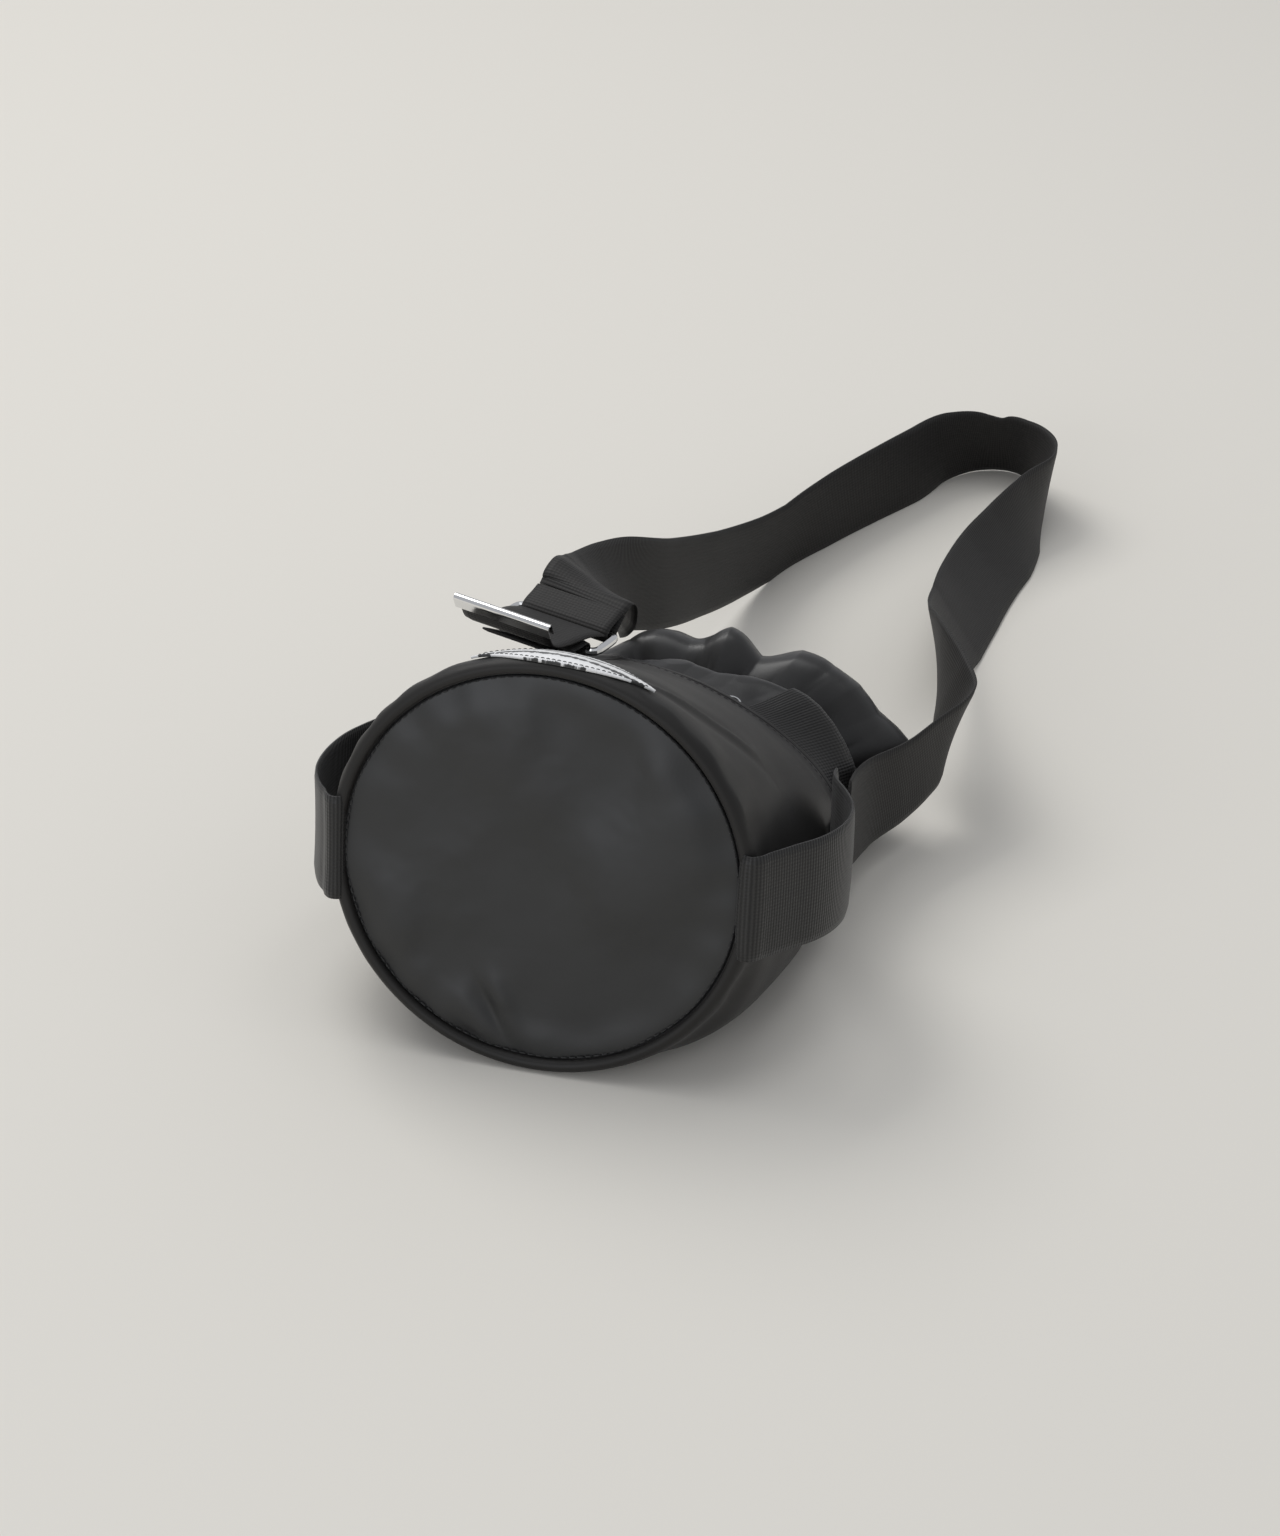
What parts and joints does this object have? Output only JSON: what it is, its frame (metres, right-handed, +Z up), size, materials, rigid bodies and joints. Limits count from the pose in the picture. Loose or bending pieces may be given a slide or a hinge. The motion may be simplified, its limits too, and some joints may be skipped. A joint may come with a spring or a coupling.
{
  "type": "drawstring rope storage bag",
  "caption": "Small black nylon drawstring bucket bag lying on its side, with side loops and a long webbing shoulder strap.",
  "frame": {"origin": "on the floor under the middle of the bag's own box, strap left out", "axes": "+Y runs along the bag from base to mouth, +Z up, +X to the right when looking from base to mouth"},
  "size_m": [0.2049, 0.5355, 0.1496],
  "materials": {
    "nylon": "smooth black nylon twill with a soft sheen",
    "foam": "closed-cell foam",
    "thread": "black thread",
    "lining": "plain black lining",
    "cord": "braided black cord",
    "nickel": "nickel plated",
    "webbing": "ribbed black webbing",
    "label": "pale woven patch with a plain dark pattern",
    "chrome": "polished",
    "plastic": "moulded black plastic",
    "spring": "bare wire"
  },
  "bodies": {
    "bag": {"base_panel": "nylon", "base_foam": "foam", "base_seam_binding": "thread", "body_shell": "nylon", "body_lining": "lining", "rim_hem": "nylon", "collar": "nylon", "cord_channel": "nylon", "drawcord": "cord", "neck_eyelet_left": "nickel", "neck_eyelet_right": "nickel", "neck_webbing_band": "webbing", "left_side_loop": "webbing", "right_side_loop": "webbing", "label_patch": "label", "strap_anchor_patch": "webbing", "shoulder_strap": "webbing", "strap_eye": "webbing", "ring_tab": "webbing", "strap_ring": "chrome", "cord_knot": "cord"},
    "tail": {"strap_tail": "webbing", "strap_tip": "chrome"},
    "lock": {"cord_lock_body": "plastic", "cord_lock_spring": "spring"},
    "button": {"cord_lock_button": "plastic"}
  },
  "joints": [
    {"name": "tail_bend", "type": "hinge", "parent": "bag", "child": "tail", "pos_m": [-0.03108, 0.02027, 0.1018], "axis": [-0.9557, 0.2917, 0.0402], "range_deg": [-4, 55], "stiffness_Nm_per_rad": 0.02},
    {"name": "cord_lock_slide", "type": "slide", "parent": "bag", "child": "lock", "axis": [0, 1, 0], "range_m": [0, 0.024]},
    {"name": "cord_lock_press", "type": "slide", "parent": "lock", "child": "button", "axis": [0, 0, -1], "range_m": [0, 0.003], "stiffness_N_per_m": 200, "deforming": ["cord_lock_spring"]}
  ]
}
